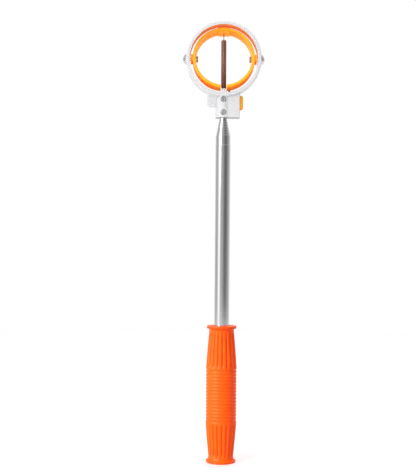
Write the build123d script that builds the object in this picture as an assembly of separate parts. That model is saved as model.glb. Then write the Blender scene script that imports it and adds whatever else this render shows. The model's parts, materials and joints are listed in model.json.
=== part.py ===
from build123d import *
import os
from math import cos, radians, sin

# Telescopic golf ball retriever with a self-locking catch ring, in millimetres.
# The origin is the centre of the grip's end face. +Z runs up the pole to the head, -Y is the front
# of the head, where its cover screws are, and +X is the side of the thumb button.

# Clearances
RUNNING = 0.05  # radial, between pieces that slide or turn on each other
SEATED = 0.03  # radial, between pieces that are fastened together
FREE = 0.3  # between moving pieces that must not touch

# Grip
GRIP_LENGTH = 108.8
GRIP_BELLY_R = 12.3
GRIP_WAIST_R = 9.95
FLANGE_R = 11.85
FLANGE_EDGE = 0.5
END_FLANGE_THICK = 1.6
END_WAIST_Z = 5.2
TOP_WAIST_Z = 103.6
TOP_FLANGE_Z = 106.8
RIBBED_LOW_Z = 32.4
RIBBED_HIGH_Z = 74.8
RIB_COUNT = 16
RIB_DEPTH = 0.55
FLUTE_COUNT = 20
FLUTE_R = 1.25
FLUTE_DEPTH = 0.6
FLUTE_TURN = 4.5  # degrees, from the front towards the button's side
FLUTE_MARGIN = 1.0  # between a flute's end and the taper's
GRIP_FLOOR = 3.0

# Telescopic tubes, number 1 outermost
TUBE_COUNT = 8
POLE_D = 12.0
TUBE_STEP_D = 0.85
TUBE_WALL = 0.25
TUBE_1_BOTTOM = 3.2
TUBE_1_TOP = 260.4
TUBE_1_NECK = 7.6
TIP_STEP = 2.15  # how far each tube's tip stands above the next larger one
TIP_NECK = 1.8
NECK_TAPER = 0.5
TUBE_2_BOTTOM = 12.0
FOOT_STEP = 8.5
FOOT_HEIGHT = 1.5
SEAT_HEIGHT = 6.0  # the reduced length round which a friction spring sits
SEAT_DEPTH = 0.15
SEAT_TAPER = 0.2
STOP_GAP = 0.7
END_PLUG_HEIGHT = 5.8
END_PLUG_FLOOR = 2.0
END_PLUG_BORE_R = 3.5
SPIGOT_LENGTH = 21.0
SPIGOT_CHAMFER = 0.4
FRICTION_SLOT = 1.0
TUBE_8_TOP = 283.0

# Head
PIVOT_Z = 321.6
HOOP_OUTER_R = 30.0
HOOP_INNER_R = 27.15
HOOP_DEPTH = 14.5
LINER_THICK = 1.0
LINER_DEPTH = 12.0
LINER_GAP_ANGLE = 20.0  # each side of straight down
HOOP_EDGE = 1.0
RING_OUTER_R = 24.75
RING_INNER_R = 22.4  # passes a 42.67 mm ball
RING_DEPTH = 11.5
RING_TILT = 9.0
RING_GAP = 4.6
RING_EDGE = 0.7
BOSS_HALF_HIGH = 2.7
BOSS_HALF_DEEP = 4.5
BOSS_END_X = 26.3
BOSS_ROOT_X = 23.5
TONGUE_WIDTH = 9.7
TONGUE_THICK = 1.5
TONGUE_DEPTH = 9.0
TONGUE_CORNER_R = 1.5
SADDLE_R = 25.4  # how far the tongue's block stands out, for the spring's cross bar
WIRE_SLOT_HALF = 0.5
WIRE_SLOT_FRONT = -1.0
WIRE_SLOT_BACK = 4.0
HOOK_GROOVE_R = 0.45

# Pivots
PIVOT_PIN_R = 1.25
PIVOT_SEAT_X = 29.85
PIVOT_HEAD_R = 4.5
PIVOT_HEAD_HIGH = 2.75
PIVOT_POCKET_DEEP = 3.0
PIVOT_NUT_R = 2.5
PIVOT_NUT_INNER_X = 20.6
PIVOT_NUT_OUTER_X = 22.0
PIVOT_NUT_EDGE = 0.5

# Trip spring, hooked at the same radius in the hoop's lug and on the catch ring's outside
ANCHOR_R = 25.3
LUG_ANGLE = 13.7  # in front of straight down
LUG_HALF = 0.75
LUG_FOOT_HALF = 2.6
LUG_FOOT_HIGH = 1.2
LUG_SHOULDER = 0.6
LUG_R = 0.95
EYE_R = 0.5
SPRING_R = 2.1
SPRING_WIRE_R = 0.3
SPRING_START = 1.2
SPRING_END = 41.1
STIRRUP_X = 1.35
HOOK_BAR_HALF = 1.5

# Housing under the hoop
HOUSING_BOTTOM = 275.0
HOUSING_RIGHT = 13.0
HOUSING_BACK = 7.0
HOUSING_FRONT = -5.2
HOUSING_TOP = 296.0
HOUSING_BACK_CORNER_R = 1.5
HOUSING_FRONT_CORNER_R = 0.8
SOCKET_R = 6.2
SEAM = 0.1
WING_LEFT = -13.0
WING_BOTTOM = 284.0
WING_FRONT = -3.4
WING_CORNER_R = 3.0
SCREW_HIGH_Z = 289.1
SCREW_LOW_Z = 278.8
SCREW_R = 1.1
SCREW_END_Y = 4.6
SCREW_HEAD_R = 2.0
SCREW_SEAT_Y = -4.0
SCREW_HEAD_THICK = 1.2
SCREW_HEAD_EDGE = 0.5
RECESS_HALF_LENGTH = 1.3
RECESS_HALF_WIDTH = 0.38
RECESS_DEEP = 0.9
COUNTERBORE_R = 2.3

# Thumb button, latch bolt and the bolt's spring
STROKE = 2.0
BUTTON_Z = 287.1
BUTTON_Y = 1.4
BUTTON_HEIGHT = 11.8
BUTTON_DEPTH = 7.0
BUTTON_OUTER_X = 15.8
BUTTON_FLANGE_X = 11.3
BUTTON_FLANGE_THICK = 0.8
BUTTON_FLANGE_RIM = 0.8
BUTTON_EDGE = 2.0
HOUSING_SIDE_WALL_X = 11.6
BOLT_LEFT = 3.9
BOLT_TIP_RIGHT = 5.5
BOLT_RIGHT = 8.1
BOLT_FRONT = 2.25
BOLT_BACK = 4.85
BOLT_BOTTOM = 280.5
BOLT_TOP = 297.7
RAMP_SUM = 294.0  # x + z along the bolt's 45 degree ramp
RAMP_PLAY = 0.35  # between the button's wedge and that ramp, along Z
WEDGE_SIDE_PLAY = 0.2
WEDGE_TIP_X = 7.8
WEDGE_TOP_Z = 288.2
LATCH_FLOOR = 276.6
LATCH_SPRING_R = 1.2
LATCH_SPRING_WIRE = 0.4
LATCH_SPRING_PLAY = 0.1


def span(x0, x1, y0, y1, z0, z1):
    """A box between six planes."""
    return Pos((x0 + x1) / 2, (y0 + y1) / 2, (z0 + z1) / 2) * Box(x1 - x0, y1 - y0, z1 - z0)


def rod_z(radius, z0, z1, x=0.0, y=0.0):
    """A round rod along Z."""
    return Pos(x, y, (z0 + z1) / 2) * Cylinder(radius, z1 - z0)


def rod_y(radius, y0, y1, x, z):
    """A round rod along Y."""
    return Pos(x, (y0 + y1) / 2, z) * Rot(90, 0, 0) * Cylinder(radius, y1 - y0)


def rod_x(radius, x0, x1, y, z):
    """A round rod along X."""
    return Pos((x0 + x1) / 2, y, z) * Rot(0, 90, 0) * Cylinder(radius, x1 - x0)


def turned(points):
    """The solid that an outline of (radius, z) points makes round the pole's axis."""
    outline = Polyline(*[(r, 0, z) for r, z in points], close=True)
    return revolve(make_face(outline), Axis.Z)


def plate_xz(points, y0, y1):
    """A flat plate with an outline of (x, z) points, between two planes across Y."""
    outline = Polyline(*[(x, y0, z) for x, z in points], close=True)
    return extrude(make_face(outline), amount=y1 - y0, dir=(0, 1, 0))


def ring_y(outer_r, inner_r, depth, z=0.0):
    """A ring round the Y axis."""
    return rod_y(outer_r, -depth / 2, depth / 2, 0, z) - rod_y(inner_r, -depth, depth, 0, z)


# ---------------------------------------------------------------- grip


def flutes(r0, z0, r1, z1):
    """Round-bottomed cutters along a taper, spread evenly round the grip."""
    out = FLUTE_R - FLUTE_DEPTH
    path = Line((r0 + out, 0, z0), (r1 + out, 0, z1))
    cutter = sweep(Plane(origin=path @ 0, z_dir=path % 0) * Circle(FLUTE_R), path=path)
    return [Rot(0, 0, FLUTE_TURN + 360 * n / FLUTE_COUNT) * cutter for n in range(FLUTE_COUNT)]


def grip():
    """Rubber sleeve: a flange at each end, two fluted tapers and a belly with ring grooves."""
    pitch = (RIBBED_HIGH_Z - RIBBED_LOW_Z) / RIB_COUNT
    outline = [
        (0, 0),
        (FLANGE_R - FLANGE_EDGE, 0),
        (FLANGE_R, FLANGE_EDGE),
        (FLANGE_R, END_FLANGE_THICK),
        (GRIP_WAIST_R, END_WAIST_Z),
        (GRIP_BELLY_R, RIBBED_LOW_Z),
    ]
    for n in range(RIB_COUNT):
        z = RIBBED_LOW_Z + pitch * n
        outline += [
            (GRIP_BELLY_R, z + 0.25 * pitch),
            (GRIP_BELLY_R - RIB_DEPTH, z + 0.5 * pitch),
            (GRIP_BELLY_R, z + 0.75 * pitch),
        ]
    outline += [
        (GRIP_BELLY_R, RIBBED_HIGH_Z),
        (GRIP_WAIST_R, TOP_WAIST_Z),
        (GRIP_WAIST_R, TOP_FLANGE_Z - FLANGE_EDGE),
        (FLANGE_R, TOP_FLANGE_Z),
        (FLANGE_R, GRIP_LENGTH - FLANGE_EDGE),
        (FLANGE_R - FLANGE_EDGE, GRIP_LENGTH),
        (0, GRIP_LENGTH),
    ]
    body = turned(outline)
    low, high = END_WAIST_Z + FLUTE_MARGIN, RIBBED_LOW_Z - FLUTE_MARGIN
    body -= flutes(GRIP_WAIST_R, low, GRIP_BELLY_R, high)
    low, high = RIBBED_HIGH_Z + FLUTE_MARGIN, TOP_WAIST_Z - FLUTE_MARGIN
    body -= flutes(GRIP_BELLY_R, low, GRIP_WAIST_R, high)
    return body - rod_z(tube_r(1) + SEATED, GRIP_FLOOR, GRIP_LENGTH + 1)


# ---------------------------------------------------------------- telescopic pole


def tube_r(i):
    return (POLE_D - TUBE_STEP_D * (i - 1)) / 2


def tube_bottom(i):
    return TUBE_1_BOTTOM if i == 1 else TUBE_2_BOTTOM + FOOT_STEP * (i - 2)


def tube_top(i):
    return TUBE_8_TOP if i == TUBE_COUNT else TUBE_1_TOP + TIP_STEP * (i - 1)


def neck_start(i):
    return tube_top(i) - (TUBE_1_NECK if i == 1 else TIP_NECK)


def seat_top(i):
    return tube_bottom(i) + FOOT_HEIGHT + SEAT_HEIGHT


def travel(i):
    """How far a tube slides out of the next larger one, until its friction spring meets the neck."""
    return neck_start(i - 1) - seat_top(i) - STOP_GAP


def tube(i):
    """Drawn steel tube with a necked tip and, inside a larger one, a foot and a spring seat."""
    r = tube_r(i)
    bottom, top = tube_bottom(i), tube_top(i)
    outer, inner = [], []
    if i == 1:
        outer += [(r, bottom)]
        inner += [(r - TUBE_WALL, bottom)]
    else:
        foot_r = tube_r(i - 1) - TUBE_WALL - RUNNING
        seat_r = r - SEAT_DEPTH
        foot_top = bottom + FOOT_HEIGHT
        outer += [(foot_r, bottom), (foot_r, foot_top), (seat_r, foot_top)]
        outer += [(seat_r, seat_top(i)), (r, seat_top(i) + SEAT_TAPER)]
        inner += [(seat_r - TUBE_WALL, bottom), (seat_r - TUBE_WALL, seat_top(i))]
        inner += [(r - TUBE_WALL, seat_top(i) + SEAT_TAPER)]
    if i < TUBE_COUNT:
        neck_r = tube_r(i + 1) + RUNNING
        outer += [(r, neck_start(i)), (neck_r + TUBE_WALL, neck_start(i) + NECK_TAPER)]
        outer += [(neck_r + TUBE_WALL, top)]
        inner += [(r - TUBE_WALL, neck_start(i)), (neck_r, neck_start(i) + NECK_TAPER), (neck_r, top)]
    else:
        outer += [(r, top)]
        inner += [(r - TUBE_WALL, top)]
    body = turned(outer + inner[::-1])
    if i == TUBE_COUNT:
        body -= rod_y(SCREW_R + SEATED, -POLE_D, POLE_D, 0, SCREW_LOW_Z)
    return body


def friction_spring(i):
    """Split bronze sleeve that grips the inside of the next larger tube."""
    low = tube_bottom(i) + FOOT_HEIGHT + SEAT_TAPER
    high = seat_top(i) - SEAT_TAPER
    sleeve = rod_z(tube_r(i - 1) - TUBE_WALL - SEATED, low, high)
    sleeve -= rod_z(tube_r(i) - SEAT_DEPTH + SEATED, low - 1, high + 1)
    return sleeve - span(0, POLE_D, -FRICTION_SLOT / 2, FRICTION_SLOT / 2, low - 1, high + 1)


def tube_end_plug():
    """Plastic plug in the outer tube's lower end, with a finger recess."""
    top = TUBE_1_BOTTOM + END_PLUG_HEIGHT
    plug = rod_z(tube_r(1) - TUBE_WALL - SEATED, TUBE_1_BOTTOM, top)
    return plug - rod_z(END_PLUG_BORE_R, TUBE_1_BOTTOM + END_PLUG_FLOOR, top + 1)


def tube_spigot():
    """Solid plug that stiffens the last tube where the lower cover screw pins it."""
    body = rod_z(tube_r(TUBE_COUNT) - TUBE_WALL - SEATED, TUBE_8_TOP - SPIGOT_LENGTH, TUBE_8_TOP)
    body = chamfer(body.edges().filter_by(GeomType.CIRCLE), SPIGOT_CHAMFER)
    return body - rod_y(SCREW_R + SEATED, -POLE_D, POLE_D, 0, SCREW_LOW_Z)


# ---------------------------------------------------------------- hoop and housing


def button_room():
    """What the button, its flange and its wedge need in the housing over the whole stroke."""
    slot = Plane.YZ * Rot(0, 0, 90) * SlotOverall(BUTTON_HEIGHT + 2 * FREE, BUTTON_DEPTH + 2 * FREE)
    inner_x = BUTTON_FLANGE_X - STROKE - FREE
    mouth = Pos(inner_x, BUTTON_Y, BUTTON_Z) * extrude(slot, HOUSING_RIGHT + 1 - inner_x)
    half = BUTTON_DEPTH / 2 + BUTTON_FLANGE_RIM + FREE
    flange = span(
        BUTTON_FLANGE_X - BUTTON_FLANGE_THICK - STROKE - 2 * FREE,
        HOUSING_SIDE_WALL_X,
        BUTTON_Y - half,
        BUTTON_Y + half,
        BUTTON_Z - BUTTON_HEIGHT / 2 - 2 * FREE - FREE,
        BUTTON_Z + BUTTON_HEIGHT / 2 - FREE,
    )
    return mouth + flange


def bolt_room():
    """The bolt's channel, from its spring's floor to the inside of the hoop."""
    front, back = BOLT_FRONT - FREE, BOLT_BACK + FREE
    wide = span(
        BOLT_LEFT - FREE, BOLT_RIGHT + FREE, front, back, LATCH_FLOOR, WEDGE_TOP_Z + 2 * FREE
    )
    slim = span(
        BOLT_LEFT - FREE, BOLT_TIP_RIGHT + FREE, front, back, WEDGE_TOP_Z, PIVOT_Z - HOOP_INNER_R + 1
    )
    return wide + slim


def screw_holes(radius):
    return [rod_y(radius, -POLE_D, SCREW_END_Y + FREE, 0, z) for z in (SCREW_LOW_Z, SCREW_HIGH_Z)]


def tube_socket():
    return rod_z(tube_r(TUBE_COUNT) + SEATED, HOUSING_BOTTOM - 1, TUBE_8_TOP + FREE)


def wing():
    """The hoop's left-hand foot, rounded at its lower outer corner and fitted round the cover."""
    plate = span(WING_LEFT, 0, WING_FRONT, HOUSING_BACK, WING_BOTTOM, HOUSING_TOP)
    corner = plate.edges().filter_by(Axis.Y).sort_by(Axis.X)[:2].sort_by(Axis.Z)[0]
    return fillet(corner, WING_CORNER_R) - rod_z(SOCKET_R + SEAM, WING_BOTTOM - 1, HOUSING_TOP + 1)


def lower_wedge(angle):
    """The sector below the pivot within this angle of straight down."""
    reach = 2 * HOOP_OUTER_R
    side = reach * sin(radians(angle))
    low = PIVOT_Z - reach * cos(radians(angle))
    return plate_xz([(0, PIVOT_Z), (-side, low), (side, low)], -HOOP_DEPTH, HOOP_DEPTH)


def lug_centre():
    """(y, z) of the trip spring's lower hook."""
    angle = radians(LUG_ANGLE)
    return -ANCHOR_R * sin(angle), PIVOT_Z - ANCHOR_R * cos(angle)


def spring_lug():
    """Triangular lug at the front of the hoop's inside, with an eye for the trip spring."""
    y, z = lug_centre()
    foot_z = PIVOT_Z - HOOP_INNER_R - LUG_SHOULDER
    right = [
        (LUG_FOOT_HALF, foot_z),
        (LUG_FOOT_HALF, foot_z + LUG_FOOT_HIGH),
        (LUG_HALF, z - LUG_SHOULDER),
        (LUG_HALF, z),
    ]
    left = [(-x, height) for x, height in right[::-1]]
    fin = plate_xz(right + left, y - LUG_R, y + LUG_R)
    eye = rod_x(EYE_R, -LUG_FOOT_HALF, LUG_FOOT_HALF, y, z)
    return fin + rod_x(LUG_R, -LUG_HALF, LUG_HALF, y, z) - eye


def hoop():
    """White moulding: the hoop, its left foot, the rear half of the housing and the spring lug."""
    disc = rod_y(HOOP_OUTER_R, -HOOP_DEPTH / 2, HOOP_DEPTH / 2, 0, PIVOT_Z)
    disc = fillet(disc.edges().filter_by(GeomType.CIRCLE), HOOP_EDGE)
    rear = span(-SOCKET_R, HOUSING_RIGHT, 0, HOUSING_BACK, HOUSING_BOTTOM, HOUSING_TOP)
    rear = fillet(rear.edges().filter_by(Axis.Z).group_by(Axis.Y)[-1], HOUSING_BACK_CORNER_R)
    body = disc + rear + wing()
    body -= rod_y(HOOP_INNER_R, -HOOP_DEPTH, HOOP_DEPTH, 0, PIVOT_Z)
    groove = ring_y(HOOP_INNER_R + LINER_THICK + SEATED, HOOP_INNER_R - 1, LINER_DEPTH + 2 * SEATED)
    body -= Pos(0, 0, PIVOT_Z) * groove - lower_wedge(LINER_GAP_ANGLE - 0.2)
    for side in (-1, 1):
        seat = sorted((side * PIVOT_SEAT_X, side * (PIVOT_SEAT_X + PIVOT_POCKET_DEEP)))
        body -= rod_x(PIVOT_HEAD_R + FREE, *seat, 0, PIVOT_Z)
    body -= rod_x(PIVOT_PIN_R + SEATED, -40, 40, 0, PIVOT_Z)
    body -= [button_room(), bolt_room(), tube_socket(), *screw_holes(SCREW_R + SEATED)]
    return body + spring_lug()


def hoop_liner():
    """Orange band let into the inside of the hoop, open at the bottom."""
    band = Pos(0, 0, PIVOT_Z) * ring_y(HOOP_INNER_R + LINER_THICK, HOOP_INNER_R, LINER_DEPTH)
    band -= lower_wedge(LINER_GAP_ANGLE)
    return band - rod_x(PIVOT_PIN_R + FREE, -40, 40, 0, PIVOT_Z)


def housing_cover():
    """Front half of the housing: a flat box with the half-round tube socket standing out of it."""
    box = span(0, HOUSING_RIGHT, HOUSING_FRONT, -SEAM, HOUSING_BOTTOM, HOUSING_TOP)
    corner = box.edges().filter_by(Axis.Z).sort_by(Axis.X)[-2:].sort_by(Axis.Y)[0]
    box = fillet(corner, HOUSING_FRONT_CORNER_R)
    barrel = rod_z(SOCKET_R, HOUSING_BOTTOM, HOUSING_TOP)
    barrel -= span(-20, 20, -SEAM, 20, HOUSING_BOTTOM - 1, HOUSING_TOP + 1)
    body = box + barrel - rod_y(HOOP_OUTER_R + SEAM, -HOOP_DEPTH, HOOP_DEPTH, 0, PIVOT_Z)
    body -= [button_room(), bolt_room(), tube_socket(), *screw_holes(SCREW_R + SEATED)]
    for z in (SCREW_LOW_Z, SCREW_HIGH_Z):
        body -= rod_y(COUNTERBORE_R, -POLE_D, SCREW_SEAT_Y, 0, z)
    return body


def cover_screw(z):
    """Self-tapping screw with a low domed cross-recessed head."""
    face = SCREW_SEAT_Y - SCREW_HEAD_THICK
    head = rod_y(SCREW_HEAD_R, face, SCREW_SEAT_Y, 0, z)
    head = fillet(head.edges().filter_by(GeomType.CIRCLE).sort_by(Axis.Y)[0], SCREW_HEAD_EDGE)
    long, wide, floor = RECESS_HALF_LENGTH, RECESS_HALF_WIDTH, face + RECESS_DEEP
    recess = span(-long, long, face - 1, floor, z - wide, z + wide)
    recess += span(-wide, wide, face - 1, floor, z - long, z + long)
    shank = rod_y(SCREW_R, SCREW_SEAT_Y, SCREW_END_Y, 0, z)
    shank = chamfer(shank.edges().filter_by(GeomType.CIRCLE).sort_by(Axis.Y)[-1], SCREW_HEAD_EDGE)
    return head + shank - recess


# ---------------------------------------------------------------- catch ring and pivots


def catch_ring():
    """Orange ring, open at the bottom round the lug, hung on two side pivots and tilted back."""
    ring = ring_y(RING_OUTER_R, RING_INNER_R, RING_DEPTH)
    ring = fillet(ring.edges().filter_by(GeomType.CIRCLE), RING_EDGE)
    ring -= span(-RING_GAP / 2, RING_GAP / 2, -RING_DEPTH, RING_DEPTH, -HOOP_INNER_R, 0)
    tongue = span(
        -TONGUE_WIDTH / 2,
        TONGUE_WIDTH / 2,
        -TONGUE_DEPTH / 2,
        TONGUE_DEPTH / 2,
        RING_INNER_R - TONGUE_THICK,
        SADDLE_R,
    )
    ring += fillet(tongue.edges().filter_by(Axis.Z), TONGUE_CORNER_R)
    for side in (-1, 1):
        ends = sorted((side * BOSS_ROOT_X, side * BOSS_END_X))
        ring += span(*ends, -BOSS_HALF_DEEP, BOSS_HALF_DEEP, -BOSS_HALF_HIGH, BOSS_HALF_HIGH)
    ring -= rod_x(PIVOT_PIN_R + RUNNING, -HOOP_OUTER_R, HOOP_OUTER_R, 0, 0)
    # The slot in which the trip spring's wire swings, and the groove outside for its cross bar.
    slot = (-WIRE_SLOT_HALF, WIRE_SLOT_HALF, WIRE_SLOT_FRONT, WIRE_SLOT_BACK)
    ring -= span(*slot, RING_INNER_R - 2 * TONGUE_THICK, SADDLE_R + 1)
    ring -= rod_x(HOOK_GROOVE_R, -HOOK_BAR_HALF - FREE, HOOK_BAR_HALF + FREE, 0, ANCHOR_R)
    return Pos(0, 0, PIVOT_Z) * Rot(-RING_TILT, 0, 0) * ring


def pivot_screw(side):
    """Domed head outside the hoop, and the pin that the catch ring turns on."""
    seat, rim = (PIVOT_SEAT_X, 0, 0), (PIVOT_SEAT_X, 0, PIVOT_HEAD_R)
    crown = (PIVOT_SEAT_X + PIVOT_HEAD_HIGH, 0, 0)
    profile = Line(crown, seat) + Line(seat, rim) + TangentArc(crown, rim, tangent=(0, 0, 1))
    dome = revolve(make_face(profile), Axis.X)
    screw = dome + rod_x(PIVOT_PIN_R, PIVOT_NUT_INNER_X, PIVOT_SEAT_X, 0, 0)
    return Pos(0, 0, PIVOT_Z) * Rot(0, 0, 0 if side > 0 else 180) * screw


def pivot_nut(side):
    """Round brown nut on the pin's inner end."""
    nut = rod_x(PIVOT_NUT_R, PIVOT_NUT_INNER_X, PIVOT_NUT_OUTER_X, 0, 0)
    nut = fillet(nut.edges().filter_by(GeomType.CIRCLE).sort_by(Axis.X)[0], PIVOT_NUT_EDGE)
    nut -= rod_x(PIVOT_PIN_R + SEATED, 0, HOOP_OUTER_R, 0, 0)
    return Pos(0, 0, PIVOT_Z) * Rot(0, 0, 0 if side > 0 else 180) * nut


def trip_spring():
    """Close-wound spring from the lug to the ring: a tube, a stirrup below and a wire above."""
    y, z = lug_centre()
    lean = (LUG_ANGLE + RING_TILT) / 2
    length = 2 * ANCHOR_R * cos(radians((LUG_ANGLE - RING_TILT) / 2))
    body = rod_z(SPRING_R, SPRING_START, SPRING_END)
    body -= rod_z(SPRING_R - 2 * SPRING_WIRE_R, SPRING_START + 1, SPRING_END - 1)
    for side in (-1, 1):
        body += rod_z(SPRING_WIRE_R, 0, SPRING_START + 0.5, x=side * STIRRUP_X)
    body += rod_x(SPRING_WIRE_R, -STIRRUP_X, STIRRUP_X, 0, 0)
    body += rod_z(SPRING_WIRE_R, SPRING_END - 0.5, length)
    body += rod_x(SPRING_WIRE_R, -HOOK_BAR_HALF, HOOK_BAR_HALF, 0, length)
    return Pos(0, y, z) * Rot(-lean, 0, 0) * body


# ---------------------------------------------------------------- thumb button and latch


def release_button():
    """Orange thumb button with a retaining flange and a 45 degree wedge."""
    slot = Plane.YZ * Rot(0, 0, 90) * SlotOverall(BUTTON_HEIGHT, BUTTON_DEPTH)
    pad = Pos(BUTTON_FLANGE_X, BUTTON_Y, BUTTON_Z) * extrude(slot, BUTTON_OUTER_X - BUTTON_FLANGE_X)
    pad = fillet(pad.faces().sort_by(Axis.X)[-1].edges(), BUTTON_EDGE)
    flange_inner = BUTTON_FLANGE_X - BUTTON_FLANGE_THICK
    half = BUTTON_DEPTH / 2 + BUTTON_FLANGE_RIM
    low = BUTTON_Z - BUTTON_HEIGHT / 2 - 2 * FREE
    high = BUTTON_Z + BUTTON_HEIGHT / 2 - 2 * FREE
    flange = span(flange_inner, BUTTON_FLANGE_X, BUTTON_Y - half, BUTTON_Y + half, low, high)
    face_sum = RAMP_SUM + RAMP_PLAY
    wedge = plate_xz(
        [
            (WEDGE_TIP_X, face_sum - WEDGE_TIP_X),
            (flange_inner, face_sum - flange_inner),
            (flange_inner, WEDGE_TOP_Z),
            (WEDGE_TIP_X, WEDGE_TOP_Z),
        ],
        BOLT_FRONT + WEDGE_SIDE_PLAY,
        BOLT_BACK - WEDGE_SIDE_PLAY,
    )
    return pad + flange + wedge


def latch_bolt():
    """Bolt whose tip stands behind the catch ring, with the ramp that the button pushes down."""
    return plate_xz(
        [
            (BOLT_LEFT, BOLT_BOTTOM),
            (BOLT_RIGHT, BOLT_BOTTOM),
            (BOLT_RIGHT, RAMP_SUM - BOLT_RIGHT),
            (BOLT_TIP_RIGHT, RAMP_SUM - BOLT_TIP_RIGHT),
            (BOLT_TIP_RIGHT, BOLT_TOP),
            (BOLT_LEFT, BOLT_TOP),
        ],
        BOLT_FRONT,
        BOLT_BACK,
    )


def latch_spring():
    """Small compression spring under the bolt, as a plain tube."""
    x, y = (BOLT_LEFT + BOLT_RIGHT) / 2, (BOLT_FRONT + BOLT_BACK) / 2
    low, high = LATCH_FLOOR + LATCH_SPRING_PLAY, BOLT_BOTTOM - LATCH_SPRING_PLAY
    outer = rod_z(LATCH_SPRING_R, low, high, x, y)
    return outer - rod_z(LATCH_SPRING_R - LATCH_SPRING_WIRE, low - 1, high + 1, x, y)


# ---------------------------------------------------------------- all nodes

NODES = {
    "grip": grip(),
    "tube_end_plug": tube_end_plug(),
    "tube_spigot": tube_spigot(),
    "hoop": hoop(),
    "hoop_liner": hoop_liner(),
    "housing_cover": housing_cover(),
    "cover_screw_upper": cover_screw(SCREW_HIGH_Z),
    "cover_screw_lower": cover_screw(SCREW_LOW_Z),
    "catch_ring": catch_ring(),
    "pivot_screw_right": pivot_screw(1),
    "pivot_screw_left": pivot_screw(-1),
    "pivot_nut_right": pivot_nut(1),
    "pivot_nut_left": pivot_nut(-1),
    "trip_spring": trip_spring(),
    "release_button": release_button(),
    "latch_bolt": latch_bolt(),
    "latch_spring": latch_spring(),
}
for number in range(1, TUBE_COUNT + 1):
    NODES[f"tube_{number}"] = tube(number)
for number in range(2, TUBE_COUNT + 1):
    NODES[f"friction_spring_{number}"] = friction_spring(number)

os.makedirs("parts", exist_ok=True)
for name, solid in NODES.items():
    export_step(solid, f"parts/{name}.step")
for number in range(2, TUBE_COUNT + 1):
    print(f"tube_{number} slides out {travel(number):.2f} mm")
lug_y, lug_z = lug_centre()
print(f"trip spring hinge at y {lug_y:.3f}, z {lug_z:.3f}")
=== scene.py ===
import json
from math import atan2, ceil, cos, pi, radians, sin

import bpy
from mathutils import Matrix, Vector


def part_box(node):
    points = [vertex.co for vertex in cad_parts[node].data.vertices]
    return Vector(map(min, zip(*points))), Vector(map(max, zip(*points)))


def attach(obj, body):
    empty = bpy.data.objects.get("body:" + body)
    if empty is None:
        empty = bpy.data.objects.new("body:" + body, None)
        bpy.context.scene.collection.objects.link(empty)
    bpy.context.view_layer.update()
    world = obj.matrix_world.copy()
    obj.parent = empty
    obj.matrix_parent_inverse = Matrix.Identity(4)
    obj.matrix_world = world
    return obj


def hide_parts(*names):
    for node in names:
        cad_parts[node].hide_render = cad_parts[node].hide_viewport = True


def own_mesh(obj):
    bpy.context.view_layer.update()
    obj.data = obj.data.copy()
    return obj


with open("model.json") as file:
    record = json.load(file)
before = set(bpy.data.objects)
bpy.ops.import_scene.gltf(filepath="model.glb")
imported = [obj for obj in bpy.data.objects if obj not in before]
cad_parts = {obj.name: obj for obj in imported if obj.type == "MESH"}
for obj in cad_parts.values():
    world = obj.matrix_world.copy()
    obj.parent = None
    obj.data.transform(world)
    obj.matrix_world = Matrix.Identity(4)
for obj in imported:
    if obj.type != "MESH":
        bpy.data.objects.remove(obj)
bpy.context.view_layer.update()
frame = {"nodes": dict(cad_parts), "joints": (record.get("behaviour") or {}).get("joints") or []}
JOINTS = {j["name"]: j for j in frame["joints"]}

# The looks of a telescopic golf ball retriever. Metres, +Z up the pole, -Y the front, +X the button's side.

MM = 0.001


# ---------------------------------------------------------------- camera

CAMERA_DISTANCE = 792 * MM
CAMERA_HEIGHT = 180.4 * MM
CAMERA_ASIDE = -11.5 * MM
CAMERA_ROLL = radians(0.45)
PICTURE_HEIGHT = 377.6 * MM  # what the picture's height spans at the pole's axis
SENSOR = 36.0


def make_camera():
    """Level camera in front of the pole, turned a little about its own axis."""
    data = bpy.data.cameras.new("camera")
    data.sensor_width = SENSOR
    data.lens = SENSOR * CAMERA_DISTANCE / PICTURE_HEIGHT
    data.clip_start, data.clip_end = 0.01, 50
    camera = bpy.data.objects.new("camera", data)
    camera.location = (CAMERA_ASIDE, -CAMERA_DISTANCE, CAMERA_HEIGHT)
    camera.rotation_euler = (pi / 2, -CAMERA_ROLL, 0)
    bpy.context.scene.collection.objects.link(camera)
    bpy.context.scene.camera = camera


# ---------------------------------------------------------------- mesh helpers

ARC_STEPS = 6
WIRE_SIDES = 8


def smoothstep(low, high, x):
    """0 below low, 1 above high, and a smooth rise between."""
    t = min(1.0, max(0.0, (x - low) / (high - low)))
    return t * t * (3 - 2 * t)


def quarter(steps, first=0):
    """Pairs of 1 - cos and 1 - sin round a quarter turn, for rounded edges."""
    turns = [pi / 2 * n / steps for n in range(first, steps + 1)]
    return [(1 - cos(turn), 1 - sin(turn)) for turn in turns]


def add_piece(name, vertices, faces, material, body):
    """A smooth-shaded mesh that rides on a CAD body."""
    mesh = bpy.data.meshes.new(name)
    mesh.from_pydata([tuple(v) for v in vertices], [], faces)
    mesh.polygons.foreach_set("use_smooth", [True] * len(mesh.polygons))
    mesh.materials.append(material)
    mesh.update()
    piece = bpy.data.objects.new(name, mesh)
    bpy.context.scene.collection.objects.link(piece)
    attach(piece, body)
    return piece


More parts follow.
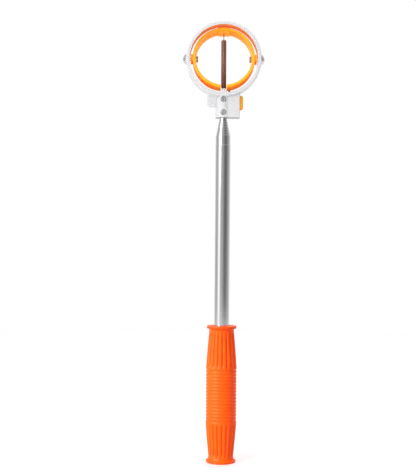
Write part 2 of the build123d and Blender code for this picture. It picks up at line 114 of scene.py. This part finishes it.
def wire(points, radius):
    """Vertices and faces of a round wire along a list of points, closed at both ends."""
    vertices, faces = [], []
    sides = WIRE_SIDES
    side = Vector((1, 0, 0))
    for n, point in enumerate(points):
        ahead = points[min(n + 1, len(points) - 1)] - points[max(n - 1, 0)]
        ahead.normalize()
        side = side - ahead * side.dot(ahead)
        if side.length < 0.05:  # the wire has turned to run along its old side
            side = ahead.orthogonal()
        side.normalize()
        up = ahead.cross(side)
        for k in range(sides):
            turn = 2 * pi * k / sides
            vertices.append(point + radius * (cos(turn) * side + sin(turn) * up))
    for n in range(len(points) - 1):
        for k in range(sides):
            a, b = n * sides + k, n * sides + (k + 1) % sides
            faces.append((a, b, b + sides, a + sides))
    faces.append(tuple(range(sides))[::-1])
    faces.append(tuple(range(len(vertices) - sides, len(vertices))))
    return vertices, faces


# ---------------------------------------------------------------- materials


NOISE_ROUGHNESS = 0.55
NOISE_MIDDLE = (0.3, 0.7)  # where nearly all of the noise's values lie
FINE_RELIEF = 0.01 * MM


class Nodes:
    """A shader node tree, with short ways to add nodes and join them."""

    def __init__(self, tree):
        self.tree = tree

    def node(self, kind, **settings):
        made = self.tree.nodes.new("ShaderNode" + kind)
        for setting, value in settings.items():
            setattr(made, setting, value)
        return made

    def link(self, source, target):
        self.tree.links.new(source, target)

    def band(self, value, low, high, from_low=0.0, from_high=1.0):
        """A value carried from one range to another."""
        ranged = self.node("MapRange")
        self.link(value, ranged.inputs["Value"])
        for socket, number in zip(
            ("From Min", "From Max", "To Min", "To Max"), (from_low, from_high, low, high)
        ):
            ranged.inputs[socket].default_value = number
        return ranged.outputs["Result"]

    def blend(self, amount, first, second):
        """Two colours mixed by an amount, each given as numbers or as a node's output."""
        mix = self.node("Mix", data_type="RGBA")
        self.link(amount, mix.inputs["Factor"])
        for socket, colour in ((mix.inputs[6], first), (mix.inputs[7], second)):
            if isinstance(colour, tuple):
                socket.default_value = (*colour, 1)
            else:
                self.link(colour, socket)
        return mix.outputs[2]


class Look(Nodes):
    """A node material: a Principled shader with noise for its colour, roughness and bump.

    Each extra argument sets one of the shader's sockets, with _ for a space in its name.
    """

    def __init__(self, name, **sockets):
        self.material = bpy.data.materials.new(name)
        self.material.use_nodes = True
        super().__init__(self.material.node_tree)
        self.shader = self.tree.nodes["Principled BSDF"]
        for socket, value in sockets.items():
            self.shader.inputs[socket.replace("_", " ")].default_value = value
        self.coordinates = self.node("TexCoord")
        self.height = None

    def noise(self, scale, detail=4, stretch=(1, 1, 1)):
        """Noise in the object's own space, with about `scale` features per metre."""
        mapping = self.node("Mapping")
        mapping.inputs["Scale"].default_value = stretch
        self.link(self.coordinates.outputs["Object"], mapping.inputs["Vector"])
        noise = self.node("TexNoise")
        noise.inputs["Scale"].default_value = scale
        noise.inputs["Detail"].default_value = detail
        noise.inputs["Roughness"].default_value = NOISE_ROUGHNESS
        self.link(mapping.outputs["Vector"], noise.inputs["Vector"])
        return noise.outputs["Fac"]

    def edges(self, most, start, full):
        """Rises to `most` as the surface's pointiness, 0.5 where it is flat, goes from start to full."""
        return self.band(self.node("NewGeometry").outputs["Pointiness"], 0, most, start, full)

    def hollows(self, most, full, end):
        """Falls from `most` as the surface's pointiness, 0.5 where it is flat, goes from full to end."""
        return self.band(self.node("NewGeometry").outputs["Pointiness"], most, 0, full, end)

    def contrast(self, noise):
        """Noise spread over the whole range from 0 to 1."""
        return self.band(noise, 0, 1, *NOISE_MIDDLE)

    def falling_z(self, coordinate, full, none):
        """1 where a coordinate's Z is below `full`, falling to 0 where it is above `none`."""
        parts = self.node("SeparateXYZ")
        self.link(self.coordinates.outputs[coordinate], parts.inputs["Vector"])
        return self.band(parts.outputs["Z"], 1, 0, full, none)

    def facing_down(self, full, none):
        """How nearly the surface looks straight down, where its normal's Z is -1."""
        return self.falling_z("Normal", full, none)

    def low_down(self, full, none):
        """1 below one height, falling to 0 at another."""
        return self.falling_z("Object", full, none)

    def product(self, first, second):
        """Two values multiplied."""
        both = self.node("Math", operation="MULTIPLY")
        self.link(first, both.inputs[0])
        self.link(second, both.inputs[1])
        return both.outputs["Value"]

    def colour(self, output):
        """Sets the surface's colour."""
        self.link(output, self.shader.inputs["Base Color"])

    def roughness(self, value, low, high):
        """Sets the surface's roughness from a value between 0 and 1."""
        self.link(self.band(value, low, high), self.shader.inputs["Roughness"])

    def bump(self, value, height, strength):
        """Adds relief of this height to what there is."""
        bump = self.node("Bump")
        bump.inputs["Strength"].default_value = strength
        bump.inputs["Distance"].default_value = height
        self.link(value, bump.inputs["Height"])
        if self.height is not None:
            self.link(self.height, bump.inputs["Normal"])
        self.height = bump.outputs["Normal"]
        self.link(self.height, self.shader.inputs["Normal"])

    def glow(self, colour, strength):
        """Gives off a little light of its own."""
        self.shader.inputs["Emission Color"].default_value = (*colour, 1)
        self.shader.inputs["Emission Strength"].default_value = strength


def grip_rubber():
    """Orange rubber: mottled, a little paler on its edges, partly from wear and partly as a painted
    highlight, and darker in its grooves as painted shade.
    """
    look = Look("grip_rubber", Specular_IOR_Level=0.16)
    mottle = look.noise(140, detail=5)
    dust = look.noise(900, detail=3)
    base = look.blend(look.contrast(mottle), (0.93, 0.072, 0.0005), (0.99, 0.088, 0.001))
    # paler rib edges: partly wear, partly a painted highlight on the ribs
    base = look.blend(look.edges(0.35, 0.52, 0.62), base, (1.0, 0.10, 0.006))
    # painted shade: the grooves, where shade falls, are mixed towards a dark red
    look.colour(look.blend(look.hollows(0.55, 0.40, 0.49), base, (0.52, 0.030, 0.001)))
    look.roughness(dust, 0.30, 0.44)
    look.bump(look.noise(5200, detail=2), 3 * FINE_RELIEF, 0.5)
    look.bump(mottle, 6 * FINE_RELIEF, 0.35)
    return look.material


def drawn_steel():
    """Bright stainless tube with drawing lines along it and a few smears."""
    look = Look("drawn_steel", Metallic=1.0)
    streaks = look.noise(1.0, detail=3, stretch=(5200, 5200, 22))
    smears = look.noise(60, detail=4, stretch=(1, 1, 0.35))
    look.colour(look.blend(streaks, (0.66, 0.66, 0.67), (0.80, 0.80, 0.81)))
    both = look.node("Math", operation="MULTIPLY_ADD")
    look.link(smears, both.inputs[0])
    both.inputs[1].default_value = 0.7
    look.link(look.band(streaks, 0, 0.3), both.inputs[2])
    look.roughness(both.outputs["Value"], 0.09, 0.2)
    look.bump(streaks, 0.4 * FINE_RELIEF, 0.5)
    return look.material


def milky(weight, depth, radius):
    """The sockets of a plastic that lets some light in, to about this depth."""
    return {"Subsurface_Weight": weight, "Subsurface_Radius": radius, "Subsurface_Scale": depth}


def white_plastic():
    """White moulding with painted shade darkening its corners and creases, and painted shade turning its
    underside grey near the foot.
    """
    look = Look("white_plastic", **milky(0.3, 2.0 * MM, (1.0, 0.8, 0.75)))
    base = look.blend(look.noise(90), (0.69, 0.69, 0.70), (0.75, 0.75, 0.76))
    # painted shade: corners and creases, where shade falls, are mixed towards grey
    base = look.blend(look.hollows(0.25, 0.42, 0.49), base, (0.44, 0.43, 0.44))
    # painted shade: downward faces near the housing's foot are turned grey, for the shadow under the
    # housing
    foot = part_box("housing_cover")[0].z
    shaded_sole_mask = look.product(look.facing_down(-0.98, -0.77), look.low_down(foot + 1 * MM, foot + 3 * MM))
    look.colour(look.blend(shaded_sole_mask, base, (0.36, 0.36, 0.37)))
    look.roughness(look.noise(400, detail=3), 0.30, 0.42)
    look.bump(look.noise(700, detail=2), FINE_RELIEF, 0.3)
    return look.material


def orange_plastic(name, pale, deep, under, gloss, glow):
    """Orange plastic, made deeper on its downward faces as painted shade; the glow stands for light through
    its thin walls.
    """
    look = Look(name, Specular_IOR_Level=gloss, **milky(0.35, 2.0 * MM, (1.0, 0.5, 0.2)))
    base = look.blend(look.contrast(look.noise(110)), deep, pale)
    # painted shade: faces that look down take the under colour, as if lit only from above
    base = look.blend(look.facing_down(-1.0, -0.2), base, under)
    look.colour(look.blend(look.edges(0.3, 0.52, 0.60), base, (1.0, 0.50, 0.09)))
    look.roughness(look.noise(500, detail=3), 0.28, 0.42)
    look.bump(look.noise(800, detail=2), 2 * FINE_RELIEF, 0.3)
    look.glow(glow, 1.0)
    return look.material


def metal(name, first, second, smoothest, roughest, scale, metallic=1.0):
    """Plain metal with patchy colour and roughness, edges rubbed brighter and darker hollows."""
    look = Look(name, Metallic=metallic)
    rubbed = tuple(min(1.0, 1.7 * c + 0.04) for c in second)
    # the hollows are mixed towards a much darker copy of the colour
    hollow_colour = tuple(0.12 * c for c in first)
    base = look.blend(look.contrast(look.noise(scale, detail=5)), first, second)
    base = look.blend(look.edges(0.6, 0.53, 0.62), base, rubbed)
    look.colour(look.blend(look.hollows(0.85, 0.38, 0.48), base, hollow_colour))
    look.roughness(look.noise(3 * scale, detail=3), smoothest, roughest)
    look.bump(look.noise(2.5 * scale, detail=3), FINE_RELIEF, 0.6)
    return look.material


def copper_wire():
    """Copper-coated wire, darker towards its lower end as painted shade, where the coil sits in shadow
    between the ring's ends.
    """
    look = Look("copper_wire", Metallic=1.0)
    patches = look.contrast(look.noise(900, detail=5))
    base = look.blend(patches, (0.265, 0.142, 0.115), (0.42, 0.243, 0.203))
    low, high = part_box("trip_spring")
    # painted shade: the lower part of the coil is darkened
    shaded_low_end = look.low_down(low.z, low.z + 0.45 * (high.z - low.z))
    look.colour(look.blend(shaded_low_end, base, (0.17, 0.074, 0.048)))
    look.roughness(look.noise(2700, detail=3), 0.28, 0.5)
    look.bump(look.noise(2200, detail=3), FINE_RELIEF, 0.6)
    return look.material


def black_plastic():
    """Dull black plastic with a fine grain."""
    look = Look("black_plastic")
    grain = look.noise(1500, detail=3)
    look.colour(look.blend(grain, (0.018, 0.018, 0.020), (0.040, 0.040, 0.043)))
    look.roughness(grain, 0.42, 0.6)
    look.bump(grain, 4 * FINE_RELIEF, 0.5)
    return look.material


def floor_paper():
    """Pale paper, lit through from below so that it meets the backdrop without a line."""
    look = Look("floor_paper", Roughness=0.75, Specular_IOR_Level=0.2)
    fibre = look.noise(60, detail=6)
    look.colour(look.blend(fibre, (0.50, 0.50, 0.50), (0.54, 0.54, 0.54)))
    look.bump(fibre, 20 * FINE_RELIEF, 0.1)
    look.glow((1, 1, 1), 0.50)
    return look.material


# ---------------------------------------------------------------- grip

FLUTES = 20
FLUTE_PHASE = radians(-4.5)
FLUTE_DEEP = 0.68 * MM
FLUTE_CROWN = 0.18  # how much the ribs between flutes are rounded, as a share of the flutes' depth
FLUTE_SIDES = (-0.25, 0.95)  # where a flute's side starts and ends, on a wave from -1 to 1
RINGS = 16
RING_DEEP = 0.48 * MM
RING_SIDES = (0.30, 0.92)  # the same for a ring groove, on a wave from 0 to 1
END_FLANGE = 1.5 * MM
END_WAIST = 5.0 * MM
LOWER_BELLY = 32.4 * MM
UPPER_BELLY = 74.8 * MM
BELLY_STEP = 0.9 * MM  # the tapers stop this far from the belly
UPPER_WAIST = 103.6 * MM
TOP_FLANGE = 106.8 * MM
TOP_FILLET = 1.0 * MM
WAIST_R = 9.95 * MM
FLANGE_R = 11.85 * MM
RIM_R = 0.6 * MM  # the flanges' rounded edges
TAPER_SWELL = 0.12 * MM
CREST_DROP = 0.1 * MM  # the ring crests lie this much below the belly's lip
BORE_PLAY = 0.05 * MM
BORE_DEEP = 3 * MM
BORE_EDGE = 0.3 * MM  # the width of the bore's broken edge
GRIP_TURN_STEPS = 16 * FLUTES
WAIST_STEPS = 8
TAPER_STEPS = 30
RING_STEPS = 10
FLUTE_ENDS = (  # for each taper, where the flutes start, are whole, begin to fade and end
    (END_WAIST - 0.4 * MM, END_WAIST + 2.2 * MM, LOWER_BELLY - 2.6 * MM, LOWER_BELLY - 0.5 * MM),
    (UPPER_BELLY + 0.6 * MM, UPPER_BELLY + 3.0 * MM, UPPER_WAIST - 2.0 * MM, UPPER_WAIST + 0.4 * MM),
)


def flute_depth(turn, z):
    """How deep the flutes are at a turn round the grip and a height."""
    share = max(smoothstep(a, b, z) * (1 - smoothstep(c, d, z)) for a, b, c, d in FLUTE_ENDS)
    wave = cos(FLUTES * (turn - FLUTE_PHASE))
    groove = smoothstep(*FLUTE_SIDES, -wave)
    return FLUTE_DEEP * (groove + FLUTE_CROWN * (1 - wave)) * share


def taper(r0, z0, r1, z1):
    """A run of outline points with a slight swell, without its first point."""
    points = []
    for n in range(1, TAPER_STEPS + 1):
        t = n / TAPER_STEPS
        swell = TAPER_SWELL * sin(pi * t)
        points.append((r0 + (r1 - r0) * t + swell, z0 + (z1 - z0) * t))
    return points


def end_flange_outline():
    """(radius, z) from the middle of the end face, over the flange, to the waist."""
    points = [(0.0, 0.0), (FLANGE_R * 0.5, 0.0), (FLANGE_R - 1.6 * RIM_R, 0.0)]
    points += [(FLANGE_R - RIM_R * b, RIM_R * a) for a, b in quarter(ARC_STEPS)]
    points.append((FLANGE_R, END_FLANGE))
    reach, rise = FLANGE_R - WAIST_R, END_WAIST - END_FLANGE
    return points + [(WAIST_R + reach * b, END_FLANGE + rise * a) for a, b in quarter(WAIST_STEPS, 1)]


def belly_outline(belly_r):
    """The ring grooves between two plain lips."""
    points = [(belly_r, LOWER_BELLY - 0.2 * MM)]
    pitch = (UPPER_BELLY - LOWER_BELLY) / RINGS
    for n in range(RINGS):
        for k in range(RING_STEPS):
            share = (k + 0.5) / RING_STEPS
            dip = RING_DEEP * smoothstep(*RING_SIDES, (1 - cos(2 * pi * share)) / 2)
            points.append((belly_r - CREST_DROP - dip, LOWER_BELLY + pitch * (n + share)))
    return points + [(belly_r, UPPER_BELLY + 0.3 * MM)]


def top_flange_outline(length):
    """From below the top flange, over it and down into the bore round the tube."""
    reach = FLANGE_R - WAIST_R
    points = [(WAIST_R, TOP_FLANGE - 1.2 * TOP_FILLET)]
    points += [(WAIST_R + reach * a, TOP_FLANGE - TOP_FILLET * b) for a, b in quarter(ARC_STEPS, 1)]
    points += [(FLANGE_R - RIM_R * a, length - RIM_R * b) for a, b in quarter(ARC_STEPS)]
    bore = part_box("tube_1")[1].x + BORE_PLAY
    points += [(bore + 4 * BORE_EDGE, length), (bore + BORE_EDGE, length - 0.05 * MM)]
    return points + [(bore, length - 0.4 * MM), (bore, length - BORE_DEEP)]


def grip_outline():
    """(radius, z) down the middle of the ribs, from the end face to the bore."""
    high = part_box("grip")[1]
    belly_r, length = high.x, high.z
    outline = end_flange_outline()
    outline += taper(WAIST_R, END_WAIST, belly_r, LOWER_BELLY - BELLY_STEP)
    outline += belly_outline(belly_r)
    outline += taper(belly_r - CREST_DROP, UPPER_BELLY + BELLY_STEP, WAIST_R, UPPER_WAIST)
    return outline + top_flange_outline(length)


def make_grip(material):
    """The sleeve: the outline turned round the pole's axis, with the flutes sunk into it."""
    outline = grip_outline()
    vertices = [Vector((0, 0, 0))]
    faces = []
    steps = GRIP_TURN_STEPS
    for r, z in outline[1:]:
        for k in range(steps):
            turn = 2 * pi * k / steps
            radius = r - flute_depth(turn, z)
            vertices.append(Vector((radius * sin(turn), -radius * cos(turn), z)))
    for k in range(steps):
        faces.append((0, 1 + k, 1 + (k + 1) % steps))
    for row in range(len(outline) - 2):
        first = 1 + row * steps
        for k in range(steps):
            a, b = first + k, first + (k + 1) % steps
            faces.append((a, a + steps, b + steps, b))
    piece = add_piece("grip_sleeve", vertices, faces, material, "handle")
    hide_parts("grip")
    return piece


# ---------------------------------------------------------------- springs

SPRING_WIRE_R = 0.3 * MM
SPRING_PITCH = 0.63 * MM
COIL_LOW = 1.5 * MM
COIL_HIGH = 40.8 * MM
COIL_LEAD_OUT = 1.1 * MM  # how far the wire rises while it runs in from the coil to its middle
LEAD_OUT_STEPS = 8
STIRRUP_HALF = 1.35 * MM
STIRRUP_BEND = 0.35 * MM
STIRRUP_LEFT_TOP = 0.9 * MM
STIRRUP_RIGHT_TOP = 0.8 * MM
BAR_HALF = 1.5 * MM
BAR_STEPS = 8  # short steps, so that the flat ends' shading doesn't spread along the bar
COIL_STEPS = 14
RING_ANGLE = radians(9)  # the catch ring's tilt at rest
LATCH_WIRE_R = 0.18 * MM
LATCH_PITCH = 0.9 * MM


def coil(radius, low, high, pitch):
    """Points up a helix round the Z axis, from angle 0."""
    total = ceil((high - low) / pitch * COIL_STEPS)
    points = []
    for n in range(total + 1):
        turn = 2 * pi * n / COIL_STEPS
        points.append((radius * cos(turn), radius * sin(turn), low + pitch * n / COIL_STEPS))
    return points


def stirrup():
    """The bent wire below the coil, through the lug's eye and up to the coil's start."""
    half, bend = STIRRUP_HALF, STIRRUP_BEND
    points = [(-half, 0, STIRRUP_LEFT_TOP)]
    points += [(-half + bend * a, 0, bend * b) for a, b in quarter(ARC_STEPS)]
    points += [(half - bend * b, 0, bend * a) for a, b in quarter(ARC_STEPS)]
    return points + [(half, 0, STIRRUP_RIGHT_TOP)]


def trip_spring_runs(length):
    """The spring's wire and its cross bar, as points across, out from and along the spring."""
    coil_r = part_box("trip_spring")[1].x - SPRING_WIRE_R
    main = stirrup() + coil(coil_r, COIL_LOW, COIL_HIGH, SPRING_PITCH)
    x, y, z = main[-1]
    for n in range(1, LEAD_OUT_STEPS + 1):
        share = n / LEAD_OUT_STEPS
        shrink = 1 - smoothstep(0, 1, share)
        main.append((x * shrink, y * shrink, z + COIL_LEAD_OUT * share))
    main.append((0, 0, length))
    bar = [(BAR_HALF * (2 * n / BAR_STEPS - 1), 0, length) for n in range(BAR_STEPS + 1)]
    return main, bar


def make_trip_spring(material):
    """The close-wound spring between the lug's eye and the catch ring's groove."""
    lower = Vector(JOINTS["trip_spring_hinge"]["pos_m"])
    pivot = Vector(JOINTS["catch_ring_tilt"]["pos_m"])
    radius = (lower - pivot).length
    upper = pivot + radius * Vector((0, sin(RING_ANGLE), cos(RING_ANGLE)))
    along = (upper - lower).normalized()
    length = (upper - lower).length
    across = Vector((1, 0, 0))
    out = along.cross(across)
    vertices, faces = [], []
    for run in trip_spring_runs(length):
        places = [lower + across * x + out * y + along * z for x, y, z in run]
        more, walls = wire(places, SPRING_WIRE_R)
        faces += [tuple(v + len(vertices) for v in face) for face in walls]
        vertices += more
    piece = add_piece("trip_spring_coil", vertices, faces, material, "trip_spring")
    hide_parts("trip_spring")
    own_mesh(piece)
    return piece


def make_latch_spring(material):
    """The small compression spring under the bolt."""
    low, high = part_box("latch_spring")
    centre = (low + high) / 2
    radius = (high.x - low.x) / 2 - LATCH_WIRE_R
    turns = coil(radius, low.z + LATCH_WIRE_R, high.z - LATCH_WIRE_R, LATCH_PITCH)
    places = [Vector((centre.x + x, centre.y + y, z)) for x, y, z in turns]
    vertices, faces = wire(places, LATCH_WIRE_R)
    piece = add_piece("latch_spring_coil", vertices, faces, material, "section_8")
    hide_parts("latch_spring")
    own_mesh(piece)


# ---------------------------------------------------------------- carried-over CAD nodes


def paint(material, *nodes):
    """Gives CAD nodes this material alone."""
    for name in nodes:
        node = frame["nodes"][name]
        node.data.materials.clear()
        node.data.materials.append(material)


# ---------------------------------------------------------------- studio

FLOOR_R = 1.15
FLOOR_SIDES = 96
FLOOR_DROP = 0.2 * MM  # below the grip's end face
ZENITH = (0.60, 0.60, 0.61)
ZENITH_FROM, ZENITH_FULL = 0.25, 0.95  # the Z of a direction where the zenith's grey begins and is whole
LAMP_R = 0.12
ENVIRONMENT = (  # degrees round from the camera's side, positive to the right, and grey level
    (-180, 0.95), (-140, 0.80), (-112, 0.52), (-90, 0.50), (-70, 0.85), (-57, 1.38), (-46, 1.38),
    (-34, 0.70), (-18, 0.48), (-2, 0.48), (11, 0.35), (25, 0.20), (42, 0.15), (60, 0.20), (78, 0.36),
    (99, 0.48), (127, 0.85), (180, 0.95),
)


def make_world():
    """A ring of pale and dark panels for the steel to reflect, and a white backdrop in the picture."""
    world = bpy.data.worlds.new("studio")
    world.use_nodes = True
    world.node_tree.nodes.clear()
    nodes = Nodes(world.node_tree)
    link = nodes.link

    split = nodes.node("SeparateXYZ")
    link(nodes.node("TexCoord").outputs["Generated"], split.inputs["Vector"])
    forward = nodes.node("Math", operation="MULTIPLY")
    link(split.outputs["Y"], forward.inputs[0])
    forward.inputs[1].default_value = -1
    turn = nodes.node("Math", operation="ARCTAN2")
    link(split.outputs["X"], turn.inputs[0])
    link(forward.outputs["Value"], turn.inputs[1])
    panels = nodes.node("ValToRGB")
    link(nodes.band(turn.outputs["Value"], 0, 1, -pi, pi), panels.inputs["Fac"])
    stops = panels.color_ramp.elements
    for degrees, _ in ENVIRONMENT[1:-1]:
        stops.new((degrees + 180) / 360)
    brightest = max(level for _, level in ENVIRONMENT)
    for stop, (_, level) in zip(stops, ENVIRONMENT):
        stop.color = (level / brightest,) * 3 + (1,)

    surround = nodes.node("Background")
    height = nodes.band(split.outputs["Z"], 0, 1, ZENITH_FROM, ZENITH_FULL)
    link(nodes.blend(height, panels.outputs["Color"], ZENITH), surround.inputs["Color"])
    surround.inputs["Strength"].default_value = brightest
    backdrop = nodes.node("Background")
    backdrop.inputs["Color"].default_value = (1, 1, 1, 1)
    either = nodes.node("MixShader")
    link(nodes.node("LightPath").outputs["Is Camera Ray"], either.inputs["Fac"])
    link(surround.outputs["Background"], either.inputs[1])
    link(backdrop.outputs["Background"], either.inputs[2])
    link(either.outputs["Shader"], nodes.node("OutputWorld").inputs["Surface"])
    bpy.context.scene.world = world


def add_light(name, data, place, target):
    """A light that points from its place to a target."""
    light = bpy.data.objects.new(name, data)
    light.location = place
    light.rotation_euler = (Vector(target) - Vector(place)).to_track_quat("-Z", "Y").to_euler()
    bpy.context.scene.collection.objects.link(light)
    return light


def make_light(name, place, target, size, power):
    """A rectangular soft light."""
    data = bpy.data.lights.new(name, "AREA")
    data.shape = "RECTANGLE"
    data.size, data.size_y = size
    data.energy = power
    add_light(name, data, place, target)


def make_spot(name, place, target, spread, power, lit):
    """A spot light that lights only the given pieces."""
    data = bpy.data.lights.new(name, "SPOT")
    data.spot_size, data.spot_blend = spread, 1.0
    data.shadow_soft_size = LAMP_R
    data.energy = power
    spot = add_light(name, data, place, target)
    receivers = bpy.data.collections.new(name + "_receivers")
    for piece in lit:
        receivers.objects.link(piece)
    spot.light_linking.receiver_collection = receivers


def make_floor(material):
    """A round sheet under the grip's end."""
    steps = FLOOR_SIDES
    turns = [2 * pi * k / steps for k in range(steps)]
    vertices = [(0, 0, -FLOOR_DROP)]
    vertices += [(FLOOR_R * cos(turn), FLOOR_R * sin(turn), -FLOOR_DROP) for turn in turns]
    faces = [(0, 1 + k, 1 + (k + 1) % steps) for k in range(steps)]
    mesh = bpy.data.meshes.new("floor")
    mesh.from_pydata(vertices, [], faces)
    mesh.materials.append(material)
    floor = bpy.data.objects.new("floor", mesh)
    bpy.context.scene.collection.objects.link(floor)


# ---------------------------------------------------------------- everything together

make_camera()
make_world()
make_floor(floor_paper())
make_light("key", (-0.75, -0.85, 0.75), (0, 0, 0.2), size=(0.5, 0.9), power=5)
make_light("overhead", (0, 0.1, 1.4), (0, 0, 0), size=(1.2, 1.2), power=5.5)
bpy.context.scene.view_settings.view_transform = "Standard"

steel = drawn_steel()
white = white_plastic()
orange = orange_plastic(
    "ring_orange",
    pale=(0.98, 0.475, 0.038),
    deep=(0.98, 0.425, 0.028),
    # under: painted shade for the ring's downward faces
    under=(0.96, 0.23, 0.004),
    gloss=0.03,
    glow=(0.15, 0.066, 0.005),
)
# the liner is the ring's orange plastic made darker and redder, as painted shade for its place in the
# hoop's shadow
shaded_liner_orange = orange_plastic(
    "liner_orange",
    pale=(0.84, 0.20, 0.020),
    deep=(0.79, 0.17, 0.015),
    # under: painted shade for the liner's downward faces
    under=(0.74, 0.12, 0.005),
    gloss=0.01,
    glow=(0.10, 0.026, 0.006),
)
copper = copper_wire()
screw_steel = metal("screw_steel", (0.51, 0.51, 0.54), (0.67, 0.67, 0.70), 0.22, 0.38, 500)
dome_steel = metal("pivot_nickel", (0.56, 0.56, 0.57), (0.76, 0.76, 0.76), 0.18, 0.34, 300)
brown_steel = metal("nut_brown", (0.30, 0.12, 0.035), (0.42, 0.19, 0.07), 0.3, 0.5, 600, metallic=0.5)
bronze = metal("friction_bronze", (0.42, 0.26, 0.11), (0.60, 0.42, 0.20), 0.25, 0.45, 400)
black = black_plastic()

grip = make_grip(grip_rubber())
coil_spring = make_trip_spring(copper)
make_latch_spring(screw_steel)
paint(steel, *[f"tube_{n}" for n in range(1, 9)])
paint(bronze, *[f"friction_spring_{n}" for n in range(2, 9)])
paint(white, "hoop", "housing_cover")
paint(shaded_liner_orange, "hoop_liner")
paint(orange, "catch_ring", "release_button")
paint(screw_steel, "cover_screw_upper", "cover_screw_lower")
paint(dome_steel, "pivot_screw_left", "pivot_screw_right")
paint(brown_steel, "pivot_nut_left", "pivot_nut_right")
paint(black, "tube_end_plug", "tube_spigot", "latch_bolt")

HEAD_NODES = (
    "hoop", "hoop_liner", "housing_cover", "catch_ring", "release_button", "cover_screw_upper",
    "cover_screw_lower", "pivot_screw_left", "pivot_screw_right", "pivot_nut_left", "pivot_nut_right",
)
head = [frame["nodes"][name] for name in HEAD_NODES] + [coil_spring]
make_spot("grip_key", (-0.95, -0.8, 0.5), (0, 0, 0.05), spread=radians(16), power=120, lit=[grip])
make_spot("head_fill", (0, -0.79, 0.19), (0, 0, 0.315), spread=radians(14), power=9, lit=head)
